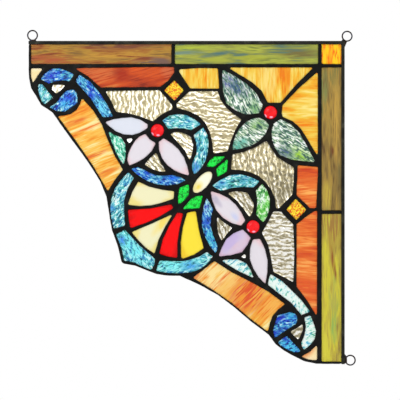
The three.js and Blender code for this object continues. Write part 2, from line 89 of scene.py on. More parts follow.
# Glass by pane: the recipe of its colour, and how its grain or streaks are turned, in degrees
PANES = {
    "brown_bar": ("brown", 0),
    "green_bar": ("olive_green", 0),
    "corner_square": ("sun_yellow", 90),
    "side_bar_upper": ("tan_streaky", 90),
    "side_bar_lower": ("lime_streaky", 90),
    "red_band": ("red_orange", 15),
    "amber_trapezoid": ("gold", 90),
    "amber_wedge_top": ("gold", 90),
    "amber_wedge_side": ("gold", 0),
    "amber_left": ("amber", 22),
    "amber_bottom": ("amber", 45),
    "orange_strip_upper": ("orange", 4),
    "orange_strip_lower": ("orange", -4),
    "curl_arc": ("cobalt", 10),
    "curl_leaf": ("cobalt", 60),
    "curl_ribbon": ("cobalt", -55),
    "ribbon_under_flower_1": ("cobalt", -20),
    "blue_ribbon_down": ("cobalt", -65),
    "curl_blue_lower": ("cobalt", 30),
    "curl_blue_upper": ("cobalt", 10),
    "flower_1_petal_upper": ("petal", 0),
    "flower_1_petal_left": ("petal_rose", 50),
    "flower_1_petal_right": ("petal_rose", -50),
    "flower_2_petal_upper": ("petal_rose", -50),
    "flower_2_petal_left": ("petal_lavender", 40),
    "flower_2_petal_right": ("petal_rose", -70),
    "flower_3_petal_upper": ("petal_green", -65),
    "flower_3_petal_left": ("petal_green", -35),
    "flower_3_petal_right": ("petal_green", -30),
    "clear_beside_flower_1": ("clear", -30),
    "clear_upper_left": ("clear", 88),
    "clear_centre": ("clear", -6),
    "clear_above_flower_2": ("clear", -55),
    "clear_right": ("clear", -80),
    "clear_lower_right": ("clear", -4),
    "aqua_ribbon_top": ("aqua", -10),
    "aqua_ribbon_right": ("aqua", 80),
    "aqua_ribbon_outer_upper": ("aqua", 55),
    "aqua_ribbon_outer_lower": ("aqua", -60),
    "aqua_ribbon_bottom": ("aqua", 20),
    "aqua_ribbon_flower_2": ("aqua", 5),
    "fan_cream_upper": ("fan_cream", 0),
    "fan_cream_lower": ("fan_cream", 60),
    "fan_red_upper": ("fan_red", 15),
    "fan_red_lower": ("fan_red", 75),
    "fan_yellow": ("fan_yellow", -75),
    "green_ribbon": ("leaf", 85),
    "mint_ribbon": ("mint", 80),
    "curl_mint": ("mint", 20),
    "diamond_upper": ("grain_yellow", 30),
    "diamond_lower": ("grain_yellow", 70),
    "oval": ("opal", 50),
}
JEWELS = ("flower_1_jewel", "flower_2_jewel", "flower_3_jewel")

# The smallest panes, which fill openings of the lattice: a square of the paper inside each
SMALL_PANES = {
    "cream_tip_top": ("tip_cream", 0, (36, 74)),
    "cream_tip_bottom": ("tip_cream", 0, (311, 352)),
    "curl_teal": ("aqua", 60, (45, 93)),
    "curl_clear": ("clear", 60, (58, 88)),
    "teal_sliver": ("teal", -60, (117, 146)),
    "clear_chip_left": ("clear", 0, (130, 140)),
    "clear_kite": ("clear", -50, (156, 164)),
    "green_leaf_left": ("green", 60, (184, 193)),
    "green_leaf_low": ("green", 40, (194, 202)),
    "green_leaf_top": ("green", 30, (214, 161)),
    "green_leaf_right": ("green", 50, (221, 168)),
    "clear_sliver": ("clear", -70, (224, 226)),
    "clear_chip_low": ("clear", 20, (244, 256)),
    "mint_sliver": ("mint", 30, (238, 265)),
    "curl_clear_low": ("clear", 20, (296, 332)),
}

# Chips of glass that stand level with the solder round them, because it would swallow them
CHIPS = ("clear_chip_left", "clear_chip_low")
CHIP_THICKNESS = 0.0046
# The other small panes: thickness, how far they swell into the solder, share of the usual relief
SMALL_THICKNESS = 0.0018
SMALL_SWELL = 0.0006
SMALL_RELIEF = 0.8

# Relief rolled into each kind of glass: length and width of a wave, and its height
RELIEF = {
    "clear": (0.012, 0.0034, 0.0005),
    "petal_green": (0.008, 0.003, 0.00045),
    "aqua": (0.007, 0.003, 0.0004),
    "cobalt": (0.007, 0.003, 0.0004),
    "mint": (0.006, 0.003, 0.0003),
    "teal": (0.007, 0.003, 0.0003),
    "grain_yellow": (0.003, 0.003, 0.0004),
    "green": (0.007, 0.005, 0.0002),
}
SMOOTH_RELIEF = (0.03, 0.014, 0.00025)
# How deep a stretched pattern goes through the panel, where it is pressed in and where it is coloured
THROUGH_EMBOSS = 0.05
THROUGH_PATTERN = 0.2


def on_panel(square):
    """A place on the paper as a place in the panel's plane."""
    x = (square[0] - PAPER_ORIGIN[0]) * PAPER_SQUARE
    z = (PAPER_ORIGIN[1] - square[1]) * PAPER_SQUARE
    return Vector((x, 0.0, z))


def select_only(piece):
    if bpy.context.mode != "OBJECT":
        bpy.ops.object.mode_set(mode="OBJECT")
    bpy.ops.object.select_all(action="DESELECT")
    piece.select_set(True)
    bpy.context.view_layer.objects.active = piece


def start_edit(action, kind="VERT"):
    """Enters edit mode on the active piece, with everything or nothing selected."""
    bpy.ops.object.mode_set(mode="EDIT")
    bpy.ops.mesh.select_mode(type=kind)
    bpy.ops.mesh.select_all(action=action)


def end_edit():
    bpy.ops.object.mode_set(mode="OBJECT")


def merged_copy(node, name):
    """A copy of a CAD node with its loose triangles joined."""
    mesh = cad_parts[node].data.copy()
    mesh.materials.clear()
    piece = bpy.data.objects.new(name, mesh)
    bpy.context.collection.objects.link(piece)
    select_only(piece)
    start_edit("SELECT")
    bpy.ops.mesh.remove_doubles(threshold=SAME_POINT)
    end_edit()
    return piece


def join_up(pieces):
    """Joins pieces into the first of them."""
    select_only(pieces[0])
    for piece in pieces:
        piece.select_set(True)
    bpy.ops.object.join()
    return pieces[0]


def modify(piece, kind, **settings):
    """Gives a piece a modifier and applies it."""
    select_only(piece)
    modifier = piece.modifiers.new(kind.title(), kind)
    for key, value in settings.items():
        setattr(modifier, key, value)
    bpy.ops.object.modifier_apply(modifier=modifier.name)


def emboss(piece, length, width, height, turn=0.0):
    """Presses a stretched cloud pattern into a piece."""
    texture = bpy.data.textures.new("rolled pattern", "CLOUDS")
    texture.noise_scale = 0.5
    texture.noise_depth = 1
    bpy.ops.object.empty_add(location=(0, 0, 0), rotation=(0, -math.radians(turn), 0))
    guide = bpy.context.object
    guide.scale = (length, THROUGH_EMBOSS, width)
    bpy.context.view_layer.update()
    modify(
        piece,
        "DISPLACE",
        texture=texture,
        texture_coords="OBJECT",
        texture_coords_object=guide,
        strength=height,
        mid_level=0.5,
    )
    bpy.data.objects.remove(guide)
    bpy.data.textures.remove(texture)


def smooth_over(piece):
    select_only(piece)
    bpy.ops.object.shade_smooth()


REFRACTION = 1.5
# A patch of another colour: how fully it covers streaky, smooth and mottled sheet, how hard the grain
# tears it, and its fullness where nothing tears it
SHEET_COVER = 1.15
MOTTLED_COVER = 0.7
TEAR = 7.0
WHOLE_BLOT = 2.0


def paint(red, green, blue):
    """A displayed colour, 0 to 255, as the shader's linear colour."""
    linear = []
    for value in (red, green, blue):
        share = value / 255
        linear.append(share / 12.92 if share < 0.04045 else ((share + 0.055) / 1.055) ** 2.4)
    return (*linear, 1.0)


class Recipe:
    """A material under construction: its shader, and the pattern nodes that feed it."""

    def __init__(self, name, roughness, metallic=0.0, transmission=0.0, gloss=0.2):
        self.material = bpy.data.materials.new(name)
        self.material.use_nodes = True
        self.tree = self.material.node_tree
        self.shader = self.tree.nodes["Principled BSDF"]
        self.shader.inputs["Roughness"].default_value = roughness
        self.shader.inputs["Metallic"].default_value = metallic
        self.shader.inputs["IOR"].default_value = REFRACTION
        self.shader.inputs["Specular IOR Level"].default_value = gloss
        self.shader.inputs["Transmission Weight"].default_value = transmission
        self.where = self.tree.nodes.new("ShaderNodeTexCoord").outputs["Object"]

    def join(self, output, node, socket):
        self.tree.links.new(output, node.inputs[socket])

    def stretch(self, turn, length, width, centre=(0.0, 0.0, 0.0)):
        """Object coordinates counted in lengths along the streaks and widths across them."""
        node = self.tree.nodes.new("ShaderNodeMapping")
        node.vector_type = "TEXTURE"
        node.inputs["Location"].default_value = centre
        node.inputs["Rotation"].default_value = (0.0, -math.radians(turn), 0.0)
        node.inputs["Scale"].default_value = (length, THROUGH_PATTERN, width)
        self.join(self.where, node, "Vector")
        return node.outputs["Vector"]

    def cloud(self, vector, detail=2.0, distortion=0.0):
        node = self.tree.nodes.new("ShaderNodeTexNoise")
        node.inputs["Scale"].default_value = 1.0
        node.inputs["Detail"].default_value = detail
        node.inputs["Distortion"].default_value = distortion
        self.join(vector, node, "Vector")
        return node.outputs["Fac"]

    def ripple(self, vector, waver):
        """Even waves across the streaks, pushed about by a cloud."""
        node = self.tree.nodes.new("ShaderNodeTexWave")
        node.bands_direction = "Z"
        node.inputs["Scale"].default_value = 1.0
        node.inputs["Distortion"].default_value = waver
        node.inputs["Detail"].default_value = 2.0
        node.inputs["Detail Scale"].default_value = 2.6
        self.join(vector, node, "Vector")
        return node.outputs["Fac"]

    def sum_up(self, kind, a, b, clamp=False):
        """Two shares, or a share and a number, put together by a sum of the given kind."""
        node = self.tree.nodes.new("ShaderNodeMath")
        node.operation = kind
        node.use_clamp = clamp
        for socket, value in enumerate((a, b)):
            if isinstance(value, (int, float)):
                node.inputs[socket].default_value = value
            else:
                self.join(value, node, socket)
        return node.outputs["Value"]

    def weigh(self, first, second, weight):
        """Two shares put together, the first with this weight and the second with the rest."""
        heavy = self.sum_up("MULTIPLY", first, weight)
        return self.sum_up("ADD", heavy, self.sum_up("MULTIPLY", second, 1 - weight))

    def ball(self, vector):
        """A share that falls from the middle of a round or stretched patch to its edge."""
        node = self.tree.nodes.new("ShaderNodeTexGradient")
        node.gradient_type = "SPHERICAL"
        self.join(vector, node, "Vector")
        return node.outputs["Fac"]

    def shades(self, share, stops, sharp=False):
        """Colours by share: stops are (place, colour)."""
        node = self.tree.nodes.new("ShaderNodeValToRGB")
        node.color_ramp.interpolation = "LINEAR" if sharp else "EASE"
        elements = node.color_ramp.elements
        while len(elements) < len(stops):
            elements.new(0.5)
        for element, (place, colour) in zip(elements, stops):
            element.position = place
            element.color = paint(*colour)
        self.join(share, node, "Fac")
        return node.outputs["Color"]

    def spread(self, share, contrast):
        """Pulls a cloud's shares away from its middle."""
        away = self.sum_up("MULTIPLY", self.sum_up("SUBTRACT", share, 0.5), contrast)
        return self.sum_up("ADD", away, 0.5, clamp=True)

    def blend(self, share, first, second):
        node = self.tree.nodes.new("ShaderNodeMix")
        node.data_type = "RGBA"
        self.join(share, node, 0)
        for socket, value in ((6, first), (7, second)):
            if isinstance(value, tuple):
                node.inputs[socket].default_value = paint(*value)
            else:
                self.join(value, node, socket)
        return node.outputs[2]

    def blot(self, colour, place, length, width, turn, added, grain=None, cover=SHEET_COVER):
        """Lays a soft patch, sized in millimetres, over a colour, and lets a grain tear its edge."""
        patch = self.ball(self.stretch(turn, length / 1000, width / 1000, place))
        torn = WHOLE_BLOT
        if grain is not None:
            away = self.sum_up("MULTIPLY", self.sum_up("SUBTRACT", grain, 0.5), TEAR)
            torn = self.sum_up("ADD", away, cover)
        return self.blend(self.sum_up("MULTIPLY", patch, torn, clamp=True), colour, added)

    def bumps(self, height, distance, strength=1.0):
        node = self.tree.nodes.new("ShaderNodeBump")
        node.inputs["Distance"].default_value = distance
        node.inputs["Strength"].default_value = strength
        self.join(height, node, "Height")
        self.join(node.outputs["Normal"], self.shader, "Normal")

    def finish(self, colour):
        self.join(colour, self.shader, "Base Color")
        return self.material


# Streaky sheet: shades from one side of a streak to the other
STREAKY = {
    "brown": (
        (0.15, (132, 66, 34)), (0.36, (164, 108, 46)), (0.5, (178, 134, 52)), (0.68, (142, 104, 46)),
        (0.88, (100, 78, 56)),
    ),
    "olive_green": (
        (0.2, (92, 118, 100)), (0.38, (132, 142, 68)), (0.5, (155, 158, 68)), (0.66, (170, 178, 68)),
        (0.85, (120, 130, 60)),
    ),
    "sun_yellow": (
        (0.36, (255, 205, 20)), (0.44, (250, 175, 20)), (0.52, (255, 110, 5)), (0.6, (250, 165, 20)),
        (0.66, (255, 205, 20)),
    ),
    "tan_streaky": (
        (0.15, (98, 72, 36)), (0.4, (138, 112, 54)), (0.6, (168, 136, 60)), (0.82, (126, 118, 60)),
    ),
    "lime_streaky": (
        (0.15, (150, 128, 58)), (0.4, (186, 168, 62)), (0.6, (206, 196, 58)), (0.85, (170, 176, 70)),
    ),
    "red_orange": (
        (0.15, (136, 40, 20)), (0.4, (182, 62, 24)), (0.6, (208, 78, 24)), (0.85, (216, 116, 54)),
    ),
    "amber": (
        (0.15, (232, 112, 24)), (0.36, (242, 160, 50)), (0.55, (246, 192, 82)), (0.8, (252, 232, 160)),
    ),
    "gold": (
        (0.15, (236, 124, 10)), (0.36, (240, 172, 36)), (0.55, (240, 202, 76)), (0.8, (249, 230, 140)),
    ),
    "orange": (
        (0.15, (196, 62, 22)), (0.4, (224, 94, 30)), (0.6, (236, 124, 48)), (0.85, (250, 176, 92)),
    ),
}
# Mottled sheet: shades by patch
MOTTLED = {
    "cobalt": (
        (0.2, (10, 12, 105)), (0.4, (20, 58, 205)), (0.52, (36, 112, 220)), (0.64, (76, 180, 232)),
        (0.82, (190, 238, 250)),
    ),
    "aqua": (
        (0.14, (14, 52, 58)), (0.32, (46, 130, 116)), (0.47, (82, 188, 182)), (0.6, (125, 226, 224)),
        (0.76, (240, 255, 255)),
    ),
    "teal": (
        (0.24, (36, 128, 100)), (0.38, (80, 202, 160)), (0.54, (135, 234, 208)),
        (0.68, (235, 255, 245)),
    ),
    "leaf": (
        (0.24, (36, 100, 64)), (0.4, (84, 180, 84)), (0.53, (145, 216, 145)), (0.64, (235, 252, 235)),
    ),
    "mint": (
        (0.2, (60, 150, 120)), (0.32, (130, 215, 185)), (0.42, (205, 244, 230)),
        (0.54, (238, 252, 246)),
    ),
    "petal_green": (
        (0.22, (52, 84, 78)), (0.4, (98, 140, 118)), (0.52, (138, 176, 150)), (0.62, (226, 238, 232)),
        (0.75, (255, 255, 255)),
    ),
    "grain_yellow": (
        (0.36, (225, 75, 20)), (0.45, (245, 150, 25)), (0.52, (255, 215, 25)), (0.62, (255, 240, 60)),
    ),
    "green": ((0.3, (5, 120, 40)), (0.4, (10, 200, 55)), (0.46, (12, 232, 62)), (0.7, (25, 245, 80))),
}
# The second tint that drifts through a mottled sheet
DRIFT = {
    "cobalt": (
        (0.22, (16, 62, 120)), (0.42, (34, 118, 172)), (0.54, (64, 172, 215)), (0.66, (126, 218, 236)),
        (0.85, (235, 252, 255)),
    ),
    "aqua": (
        (0.2, (34, 90, 160)), (0.38, (54, 148, 200)), (0.5, (100, 204, 224)), (0.64, (170, 238, 240)),
        (0.82, (250, 255, 255)),
    ),
    "petal_green": (
        (0.2, (60, 90, 92)), (0.4, (112, 150, 120)), (0.52, (158, 192, 140)), (0.64, (230, 240, 220)),
        (0.78, (255, 255, 255)),
    ),
    "leaf": (
        (0.2, (36, 140, 50)), (0.42, (104, 212, 74)), (0.58, (165, 236, 140)), (0.74, (245, 255, 240)),
    ),
    "mint": (
        (0.2, (40, 140, 195)), (0.32, (110, 205, 230)), (0.44, (215, 246, 248)),
        (0.6, (244, 255, 250)),
    ),
}
# How a mottled sheet is grained: size of a grain in metres, how many grains long a streak of it is,
# the weight of the broad patches under it, and the contrast
USUAL_STYLE = (0.0024, 2.4, 0.3, 2.6)
MOTTLE_STYLES = {
    "leaf": (0.0024, 1.0, 0.5, 2.6),
    "mint": (0.0024, 2.4, 0.5, 2.6),
    "petal_green": (0.0024, 3.6, 0.3, 3.3),
    "grain_yellow": (0.0018, 1.0, 0.3, 2.6),
    "green": (0.0024, 1.0, 0.3, 2.6),
}
# Length and width of the patterns in the sheets, in metres
WIDE_STREAK = (0.055, 0.0085)
FINE_STREAK = (0.02, 0.0016)
DRIFT_PATCH = (0.012, 0.007)
VEIL = (0.03, 0.012)
RIPPLE = (0.026, 0.0165)
CLEAR_GRAIN = (0.005, 0.0017)
# The bright middle of an opal pane: its length as a share of the pane's, and its width as a share of that
OPAL_REACH = 0.62
OPAL_WAIST = 0.6
# Smooth opal sheet: the colour of its rim. That of its middle is a setting
OPAL_RIMS = {
    "petal": (232, 216, 224),
    "petal_lavender": (216, 186, 208),
    "petal_rose": (234, 204, 210),
    "fan_cream": (240, 224, 138),
    "tip_cream": (250, 226, 170),
    "fan_yellow": (242, 205, 50),
    "fan_red": (215, 0, 4),
    "opal": (248, 240, 190),
}
# Patches of another colour: where on the paper, their size along and across in millimetres, turn, colour
BLOTS = {
    "brown_bar": (
        ((50, 60), 40, 8, 0, (172, 88, 48)), ((118, 46), 60, 5, 0, (120, 70, 50)),
        ((158, 62), 34, 7, 0, (120, 92, 80)), ((110, 56), 50, 5, 2, (192, 142, 54)),
    ),
    "green_bar": (
        ((186, 53), 26, 3, 2, (110, 138, 128)), ((218, 54), 24, 3, 10, (78, 112, 112)),
        ((188, 48), 34, 4, 0, (172, 186, 60)), ((212, 60), 34, 3, 2, (166, 172, 60)),
        ((250, 58), 26, 4, 0, (168, 172, 54)), ((300, 54), 34, 7, 0, (118, 108, 58)),
    ),
    "side_bar_upper": (
        ((324, 85), 26, 6, 90, (128, 132, 72)), ((336, 120), 60, 5, 90, (188, 150, 66)),
        ((331, 151), 8, 4, 90, (112, 66, 28)), ((327, 196), 20, 7, 90, (190, 164, 62)),
        ((340, 180), 40, 4, 90, (120, 104, 56)),
    ),
    "side_bar_lower": (
        ((330, 226), 36, 20, 90, (160, 122, 56)), ((333, 262), 26, 3, 100, (146, 84, 36)),
        ((326, 270), 60, 5, 90, (210, 198, 56)), ((333, 300), 30, 6, 88, (178, 172, 74)),
        ((334, 328), 20, 6, 88, (150, 178, 82)), ((326, 345), 34, 8, 90, (212, 204, 62)),
    ),
    "red_band": (
        ((96, 74), 34, 13, 0, (210, 106, 54)), ((122, 75), 12, 12, 0, (168, 46, 16)),
        ((134, 68), 16, 4, 0, (232, 88, 22)), ((150, 73), 28, 8, 0, (210, 84, 30)),
        ((168, 71), 10, 10, 0, (206, 100, 58)),
    ),
    "amber_bottom": (
        ((214, 274), 30, 22, 45, (250, 222, 150)), ((248, 294), 34, 26, 45, (222, 84, 36)),
        ((272, 306), 24, 12, 45, (246, 180, 80)), ((229, 284), 30, 9, 45, (246, 196, 108)),
    ),
    "amber_left": (
        ((95, 155), 24, 3, 22, (228, 112, 50)), ((88, 128), 24, 3, 22, (236, 130, 50)),
        ((75, 122), 20, 4, 22, (230, 118, 45)), ((108, 172), 20, 4, 24, (232, 125, 48)),
    ),
    "amber_wedge_top": (
        ((268, 78), 30, 13, 90, (244, 214, 118)), ((288, 74), 28, 4, 90, (238, 140, 12)),
    ),
    "amber_wedge_side": (
        ((303, 124), 24, 5, 0, (240, 132, 12)), ((310, 100), 20, 4, 0, (246, 216, 110)),
    ),
    "orange_strip_upper": (
        ((312, 192), 18, 4, 4, (250, 176, 90)), ((306, 180), 16, 4, 4, (226, 112, 44)),
        ((306, 170), 14, 3, 0, (196, 58, 20)),
    ),
    "orange_strip_lower": (
        ((304, 238), 18, 3, -4, (250, 160, 70)), ((306, 255), 20, 5, -4, (210, 72, 26)),
        ((309, 288), 34, 14, 0, (226, 88, 34)), ((312, 305), 12, 4, 0, (246, 160, 80)),
    ),
    "cream_tip_bottom": (((304, 348), 19, 13, 45, (238, 150, 80)),),
    "curl_blue_upper": (
        ((280, 318), 12, 4, 30, (18, 40, 200)), ((292, 316), 9, 8, 0, (56, 178, 226)),
        ((279, 331), 10, 4, 35, (16, 28, 190)),
    ),
    "curl_blue_lower": (
        ((289, 346), 18, 10, -30, (80, 208, 246)), ((285, 339), 7, 4, -30, (24, 40, 200)),
    ),
    "curl_arc": (((50, 76), 10, 6, 30, (30, 45, 200)), ((66, 75), 8, 5, 0, (70, 175, 190))),
    "curl_leaf": (
        ((68, 98), 9, 6, 40, (30, 60, 230)), ((66, 104), 9, 5, 0, (70, 190, 245)),
        ((56.1, 106.4), 4.5, 0.8, 73, (8, 8, 30)),
    ),
    "curl_ribbon": (
        ((92, 96), 10, 6, -50, (28, 50, 215)), ((80, 82), 9, 6, -50, (120, 215, 250)),
        ((101, 107), 17, 8, -50, (116, 222, 252)),
    ),
    "aqua_ribbon_right": (
        ((196, 168), 9, 8, 70, (45, 120, 225)), ((197, 130), 7, 4, 90, (75, 115, 120)),
    ),
    "aqua_ribbon_outer_upper": (
        ((113, 196), 10, 6, 60, (235, 252, 252)), ((112, 208), 6, 5, 0, (60, 140, 240)),
    ),
    "aqua_ribbon_outer_lower": (
        ((130, 245), 40, 15, -50, (126, 242, 250)), ((122, 240), 8, 6, -60, (50, 120, 240)),
        ((116, 222), 8, 6, 0, (120, 225, 235)),
    ),
    "aqua_ribbon_bottom": (
        ((176, 264), 42, 12, 5, (130, 244, 246)), ((190, 266), 14, 7, 0, (55, 150, 235)),
        ((150, 262), 12, 6, 0, (120, 225, 235)),
    ),
    "aqua_ribbon_flower_2": (((222, 184), 8, 6, 0, (60, 160, 225)),),
    "blue_ribbon_down": (
        ((207, 222), 8, 6, -80, (20, 60, 205)), ((206, 203), 13, 9, 90, (184, 240, 240)),
        ((212, 239), 13, 9, -70, (80, 216, 230)),
    ),
    "ribbon_under_flower_1": (
        ((150, 172), 10, 6, -20, (25, 60, 220)), ((172, 178), 10, 6, 0, (30, 110, 245)),
    ),
    "flower_2_petal_upper": (
        ((235, 216), 9, 4, -50, (205, 208, 236)), ((216, 200), 12, 5, -50, (196, 188, 206)),
    ),
    "flower_2_petal_left": (
        ((230, 242), 20, 12, 40, (200, 182, 224)), ((238, 246), 16, 5, 40, (226, 196, 208)),
    ),
    "flower_3_petal_upper": (
        ((234, 86), 24, 13, -35, (44, 74, 140)), ((254, 108), 16, 9, -60, (120, 180, 110)),
    ),
    "flower_3_petal_left": (
        ((238, 146), 18, 10, 30, (90, 190, 170)), ((258, 125), 14, 9, 0, (130, 180, 96)),
    ),
    "flower_3_petal_right": (
        ((298, 156), 22, 13, -20, (160, 208, 60)), ((286, 152), 14, 9, -30, (66, 84, 140)),
    ),
    "green_ribbon": (((262, 200), 8, 6, 90, (235, 252, 240)), ((262, 222), 9, 6, 90, (105, 225, 80))),
    "oval": (((198, 186), 8, 6, 50, (242, 218, 70)),),
    "fan_cream_lower": (((162, 222), 22, 6, 55, (246, 222, 112)),),
    "fan_cream_upper": (((150, 184), 24, 6, -8, (246, 222, 120)),),
}


def chosen(key, share=1.0):
    """A colour of the panel's settings, 0 to 255: a share of it below 1 is darker, above 1 lighter."""
    setting = getattr(bpy.context.scene.panel_colours, key)
    return tuple(min(255.0, 255 * value * share) for value in setting)


def glass_streaky(name, kind, turn):
    """Long soft streaks of a few colours pulled through each other."""
    recipe = Recipe(name, roughness=0.16, transmission=0.12)
    wide = recipe.cloud(recipe.stretch(turn, *WIDE_STREAK), detail=2.5, distortion=0.6)
    fine = recipe.cloud(recipe.stretch(turn, *FINE_STREAK), detail=2.0, distortion=0.3)
    share = recipe.weigh(wide, fine, weight=0.68)
    colour = recipe.shades(recipe.spread(share, contrast=2.5), STREAKY[kind])
    recipe.bumps(fine, distance=0.0004, strength=0.5)
    return recipe, colour, fine


def glass_mottled(name, kind, turn):
    """Small sharp patches of light and dark, with a second tint that drifts through some sheets."""
    grain, length, broad, contrast = MOTTLE_STYLES.get(kind, USUAL_STYLE)
    recipe = Recipe(name, roughness=0.12, transmission=0.15)
    patch = recipe.cloud(recipe.stretch(turn, 2.6 * grain, 1.6 * grain), detail=1.0, distortion=0.5)
    fine = recipe.cloud(recipe.stretch(turn, length * grain, 0.8 * grain), detail=3.0, distortion=1.2)
    share = recipe.spread(recipe.weigh(patch, fine, weight=broad), contrast)
    colour = recipe.shades(share, MOTTLED[kind], sharp=True)
    if kind in DRIFT:
        far = recipe.cloud(recipe.stretch(turn, *DRIFT_PATCH), detail=2.0, distortion=1.0)
        drifted = recipe.shades(share, DRIFT[kind], sharp=True)
        colour = recipe.blend(recipe.spread(far, contrast=4.0), colour, drifted)
    recipe.bumps(fine, distance=0.0008, strength=0.6)
    return recipe, colour, fine


def glass_opal(name, kind, turn):
    """Smooth milky glass, warmer towards its rim where the pane is large enough to show it."""
    recipe = Recipe(name, roughness=0.1, transmission=0.1, gloss=0.12)
    veil = recipe.cloud(recipe.stretch(turn, *VEIL), detail=2.0, distortion=0.4)
    middle = chosen(kind)
    rim = OPAL_RIMS[kind]
    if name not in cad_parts:
        return recipe, recipe.shades(veil, ((0.35, rim), (0.6, middle))), None
    low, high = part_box(name)
    centre = (Vector(low) + Vector(high)) / 2
    reach = max(high[0] - low[0], high[2] - low[2]) * OPAL_REACH
    glow = recipe.ball(recipe.stretch(turn, reach, reach * OPAL_WAIST, centre))
    share = recipe.sum_up("ADD", glow, recipe.sum_up("SUBTRACT", veil, 0.5))
    colour = recipe.shades(share, ((0.12, rim), (0.5, middle)))
    recipe.bumps(veil, distance=0.0006, strength=0.3)
    return recipe, colour, veil


# Clear sheet: shades from its brightest to its deepest streak, a painted refraction that stands for the
# darker surroundings seen through the ripples
PAINTED_REFRACTION_SHADES = (
    (0.35, (248, 247, 242)), (0.44, (220, 213, 192)), (0.52, (180, 170, 136)), (0.65, (132, 122, 90)),
)
# How much lighter a clear pane's painted refraction streaks are than usual, or heavier where it is
# negative
CLEAR_LIGHTER = {
    "clear_chip_left": 0.3,
    "clear_chip_low": 0.3,
    "curl_clear": 0.12,
    "clear_lower_right": 0.06,
    "clear_beside_flower_1": 0.02,
    "clear_upper_left": -0.035,
    "clear_centre": -0.055,
    "clear_above_flower_2": -0.02,
    "clear_right": -0.095,
}


def glass_clear(name, turn):
    """Clear rippled glass, with grey-gold streaks along its waves painted into its colour as a painted
    refraction of the darker surroundings seen through it.
    """
    recipe = Recipe(name, roughness=0.04, transmission=0.85)
    wave = recipe.ripple(recipe.stretch(turn, *RIPPLE), waver=7.5)
    fine = recipe.cloud(recipe.stretch(turn, *CLEAR_GRAIN), detail=2.5, distortion=0.8)
    share = recipe.weigh(wave, fine, weight=0.28)
    share = recipe.sum_up("SUBTRACT", share, CLEAR_LIGHTER.get(name, 0.0))
    colour = recipe.shades(share, PAINTED_REFRACTION_SHADES, sharp=True)
    recipe.bumps(wave, distance=0.0008, strength=0.5)
    return recipe, colour, fine


def glass_material(name, kind, turn):
    """A pane's own material: its sheet of glass, with the patches that this pane shows."""
    if kind in STREAKY:
        recipe, colour, grain = glass_streaky(name, kind, turn)
    elif kind in MOTTLED:
        recipe, colour, grain = glass_mottled(name, kind, turn)
    elif kind in OPAL_RIMS:
        recipe, colour, grain = glass_opal(name, kind, turn)
    else:
        recipe, colour, grain = glass_clear(name, turn)
    cover = MOTTLED_COVER if kind in MOTTLED else SHEET_COVER
    for square, length, width, slant, added in BLOTS.get(name, ()):
        colour = recipe.blot(colour, on_panel(square), length, width, slant, added, grain, cover)
    return recipe.finish(colour)


# Painted highlights: bright spots painted on each jewel's dome where it would catch the light, in
# millimetres: place from its middle, length, width, turn
PAINTED_GLINTS = (((0.7, -5.4), 2.4, 1.3, 0), ((-5.6, -3.8), 2.4, 1.1, -55))
# Colour of the painted highlights on the jewels
PAINTED_GLINT_COLOUR = (255, 170, 200)


def jewel_material():
    recipe = Recipe("ruby jewel", roughness=0.05, gloss=0.3)
    swirl = recipe.cloud(recipe.stretch(turn=35, length=0.012, width=0.004), detail=2.0, distortion=0.6)
    recipe.bumps(swirl, distance=0.0005, strength=0.2)
    stops = ((0.35, chosen("jewel", 0.9)), (0.6, chosen("jewel")), (0.8, chosen("jewel", 1.1)))
    colour = recipe.shades(swirl, stops)
    # Paints the highlights onto each jewel's dome as soft bright patches in its colour
    for node in JEWELS:
        low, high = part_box(node)
        for (across, up), length, width, turn in PAINTED_GLINTS:
            place = ((low[0] + high[0]) / 2 + across / 1000, 0, (low[2] + high[2]) / 2 + up / 1000)
            colour = recipe.blot(colour, place, length, width, turn, PAINTED_GLINT_COLOUR)
    return recipe.finish(colour)


def worn_shades(recipe, worn, key, tones):
    """Finishes a metal from hardly worn to most worn: tones are (place, share of its colour)."""
    return recipe.finish(recipe.shades(worn, [(place, chosen(key, share)) for place, share in tones]))


def solder_material():
    recipe = Recipe("black solder", roughness=0.32, metallic=0.1, gloss=0.12)
    grain = recipe.cloud(recipe.stretch(turn=0, length=0.0022, width=0.0022), detail=3.0, distortion=0.4)
    worn = recipe.cloud(recipe.stretch(turn=0, length=0.014, width=0.014), detail=4.0, distortion=0.8)
    recipe.bumps(grain, distance=0.0004, strength=0.5)
    return worn_shades(recipe, worn, "solder", ((0.35, 0.5), (0.55, 1.0), (0.68, 2.0), (0.8, 3.7)))


def channel_material():
    recipe = Recipe("grey-black channel", roughness=0.5, metallic=0.2, gloss=0.15)
    drawn = recipe.cloud(recipe.stretch(turn=0, length=0.02, width=0.0012), detail=3.0, distortion=0.3)
    worn = recipe.cloud(recipe.stretch(turn=0, length=0.012, width=0.012), detail=4.0, distortion=0.8)
    recipe.bumps(drawn, distance=0.0003, strength=0.3)
    return worn_shades(recipe, worn, "channel", ((0.35, 0.55), (0.55, 1.0), (0.75, 1.8)))


def wire_material():
    recipe = Recipe("dark wire", roughness=0.32, metallic=0.7)
    worn = recipe.cloud(recipe.stretch(turn=0, length=0.003, width=0.003), detail=4.0, distortion=0.8)
    recipe.bumps(worn, distance=0.0003, strength=0.4)
    stops = ((0.35, (20, 16, 15)), (0.5, (46, 32, 24)), (0.62, (52, 58, 72)), (0.78, (96, 96, 100)))
    return recipe.finish(recipe.shades(worn, stops))


def length_setting(name, description, default):
    return bpy.props.FloatProperty(name=name, description=description, default=default, unit="LENGTH")


class PaneSizes(bpy.types.PropertyGroup):
    """Sizes of the panes' visual meshes"""

    grid: length_setting("Mesh grid", "Spacing of the points on a pane", 0.001)
    small_grid: length_setting(
        "Small mesh grid", "Spacing of the points on the smallest panes", 0.0006
    )
    relief: bpy.props.FloatProperty(
        name="Relief", description="Height of the rolled relief, as a share of the usual", default=1.0,
        subtype="FACTOR",
    )


